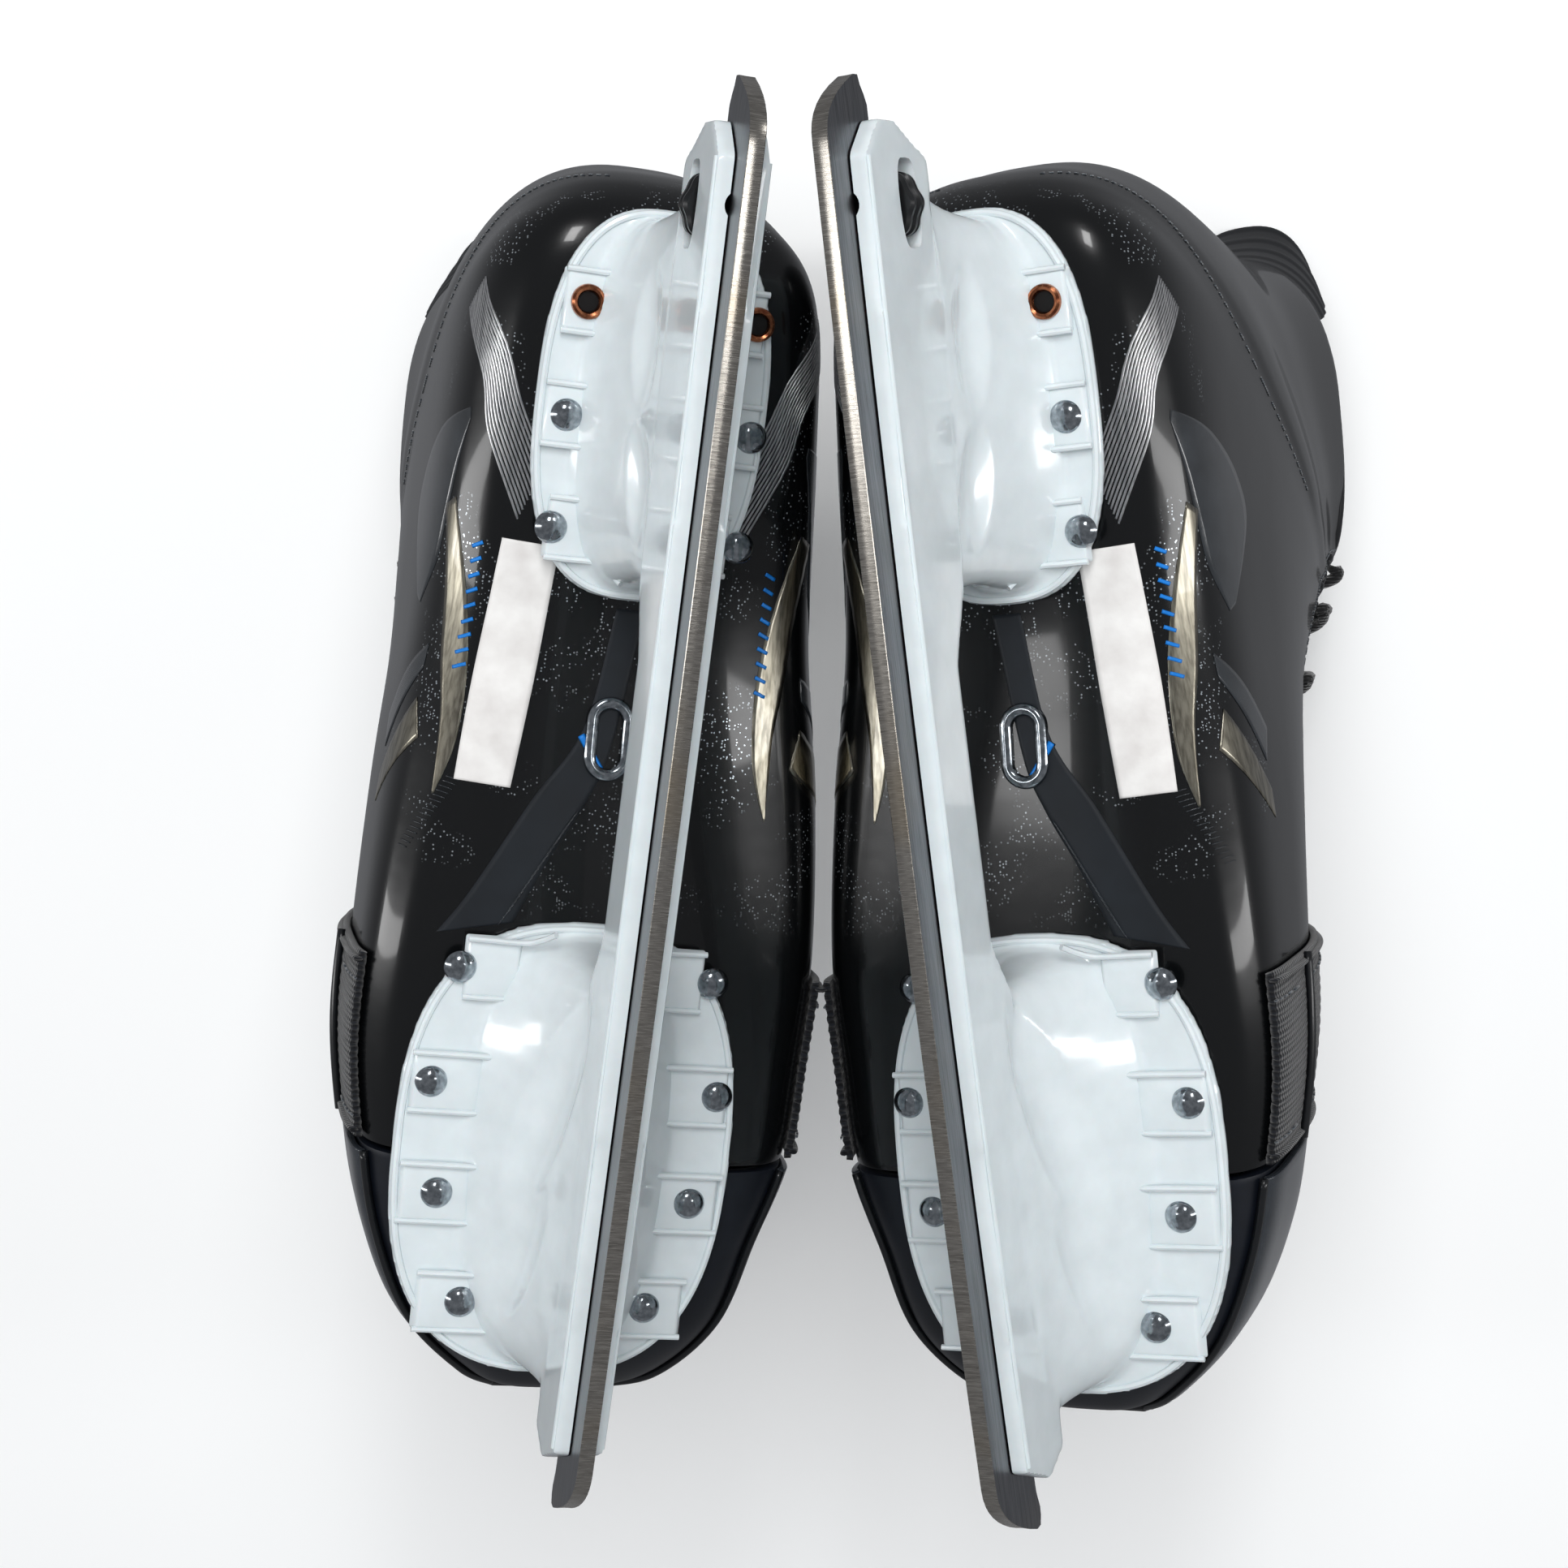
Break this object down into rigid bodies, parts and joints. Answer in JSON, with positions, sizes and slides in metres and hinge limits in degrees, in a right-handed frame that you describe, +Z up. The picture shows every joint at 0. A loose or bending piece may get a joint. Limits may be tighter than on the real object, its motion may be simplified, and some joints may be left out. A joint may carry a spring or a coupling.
{
  "type": "ice hockey skates",
  "caption": "Pair of low-cut ice skates lying soles up and leaning together: black moulded boots, white blade holders and steel runners.",
  "frame": {"origin": "middle of the bounding box at floor level, between the two skates as they lie soles up", "axes": "+Z up from the floor to the blades, +Y along the blades towards the heels, +X to the right skate"},
  "size_m": [0.2418, 0.268, 0.263],
  "materials": {
    "boot": "gloss black moulded composite",
    "toe_cap": "satin navy-black",
    "board": "matt",
    "lining": "brushed cloth",
    "foam": "foam with a cloth top",
    "felt": "white felt",
    "guard": "satin",
    "band": "ribbed webbing",
    "smoke": "smoke-grey gloss",
    "lace": "waxed woven cord",
    "holder": "gloss white moulded nylon",
    "steel": "ground and polished",
    "wheel": "moulded",
    "stud": "threaded",
    "nickel": "nickel plated",
    "copper": "copper"
  },
  "bodies": {
    "left_skate": {"left_boot_shell": "boot", "left_toe_cap": "toe_cap", "left_insole_board": "board", "left_liner": "lining", "left_footbed": "foam", "left_tongue": "felt", "left_forefoot_band": "band", "left_toe_shield": "smoke", "left_vent_grommet": "nickel", "left_lace": "lace", "left_blade_holder": "holder", "left_front_rivet_outer_1": "nickel", "left_front_rivet_outer_2": "nickel", "left_front_rivet_outer_3": "nickel", "left_front_rivet_outer_4": "nickel", "left_front_rivet_inner_1": "nickel", "left_front_rivet_inner_2": "nickel", "left_front_rivet_inner_3": "nickel", "left_front_rivet_inner_4": "nickel", "left_rear_rivet_outer_1": "nickel", "left_rear_rivet_outer_2": "nickel", "left_rear_rivet_inner_1": "nickel", "left_rear_rivet_inner_2": "nickel", "left_copper_rivet_outer_1": "copper", "left_copper_rivet_inner_1": "copper"},
    "left_tongue_top": {"left_tongue_top": "felt"},
    "left_tendon_guard": {"left_tendon_guard": "guard"},
    "left_runner": {"left_runner": "steel", "left_lock_stud": "stud"},
    "left_lock_wheel": {"left_lock_wheel": "wheel"},
    "right_skate": {"right_boot_shell": "boot", "right_toe_cap": "toe_cap", "right_insole_board": "board", "right_liner": "lining", "right_footbed": "foam", "right_tongue": "felt", "right_forefoot_band": "band", "right_toe_shield": "smoke", "right_vent_grommet": "nickel", "right_lace": "lace", "right_blade_holder": "holder", "right_front_rivet_outer_1": "nickel", "right_front_rivet_outer_2": "nickel", "right_front_rivet_outer_3": "nickel", "right_front_rivet_outer_4": "nickel", "right_front_rivet_inner_1": "nickel", "right_front_rivet_inner_2": "nickel", "right_front_rivet_inner_3": "nickel", "right_front_rivet_inner_4": "nickel", "right_rear_rivet_outer_1": "nickel", "right_rear_rivet_outer_2": "nickel", "right_rear_rivet_inner_1": "nickel", "right_rear_rivet_inner_2": "nickel", "right_copper_rivet_outer_1": "copper", "right_copper_rivet_inner_1": "copper"},
    "right_tongue_top": {"right_tongue_top": "felt"},
    "right_tendon_guard": {"right_tendon_guard": "guard"},
    "right_runner": {"right_runner": "steel", "right_lock_stud": "stud"},
    "right_lock_wheel": {"right_lock_wheel": "wheel"}
  },
  "joints": [
    {"name": "pair_apart", "type": "slide", "parent": "left_skate", "child": "right_skate", "axis": [1, 0, 0], "range_m": [0, 0.08]},
    {"name": "left_tongue_flex", "type": "hinge", "parent": "left_skate", "child": "left_tongue_top", "pos_m": [-0.09395, 0.04878, 0.0406], "axis": [-0.9348, 0.1065, 0.3387], "range_deg": [0, 60]},
    {"name": "left_tendon_flex", "type": "hinge", "parent": "left_skate", "child": "left_tendon_guard", "pos_m": [-0.08498, 0.12061, 0.04278], "axis": [0.9348, -0.1065, -0.3387], "range_deg": [0, 22], "stiffness_Nm_per_rad": 3},
    {"name": "left_runner_release", "type": "slide", "parent": "left_skate", "child": "left_runner", "axis": [0.3296, -0.0948, 0.9394], "range_m": [0, 0.012]},
    {"name": "left_lock_turn", "type": "hinge", "parent": "left_skate", "child": "left_lock_wheel", "pos_m": [-0.01504, 0.11283, 0.23825], "axis": [0.3296, -0.0948, 0.9394], "range_deg": [0, 1440]},
    {"name": "right_tongue_flex", "type": "hinge", "parent": "right_skate", "child": "right_tongue_top", "pos_m": [0.09395, 0.04878, 0.0406], "axis": [-0.9348, -0.1065, -0.3387], "range_deg": [0, 60]},
    {"name": "right_tendon_flex", "type": "hinge", "parent": "right_skate", "child": "right_tendon_guard", "pos_m": [0.08498, 0.12061, 0.04278], "axis": [0.9348, 0.1065, 0.3387], "range_deg": [0, 22], "stiffness_Nm_per_rad": 3},
    {"name": "right_runner_release", "type": "slide", "parent": "right_skate", "child": "right_runner", "axis": [-0.3296, -0.0948, 0.9394], "range_m": [0, 0.012]},
    {"name": "right_lock_turn", "type": "hinge", "parent": "right_skate", "child": "right_lock_wheel", "pos_m": [0.01504, 0.11283, 0.23825], "axis": [0.3296, 0.0948, -0.9394], "range_deg": [0, 1440]}
  ],
  "couplings": [
    {"joint": "left_lock_turn", "follows": "left_runner_release", "rad_per_m": 2094},
    {"joint": "right_lock_turn", "follows": "right_runner_release", "rad_per_m": 2094}
  ]
}
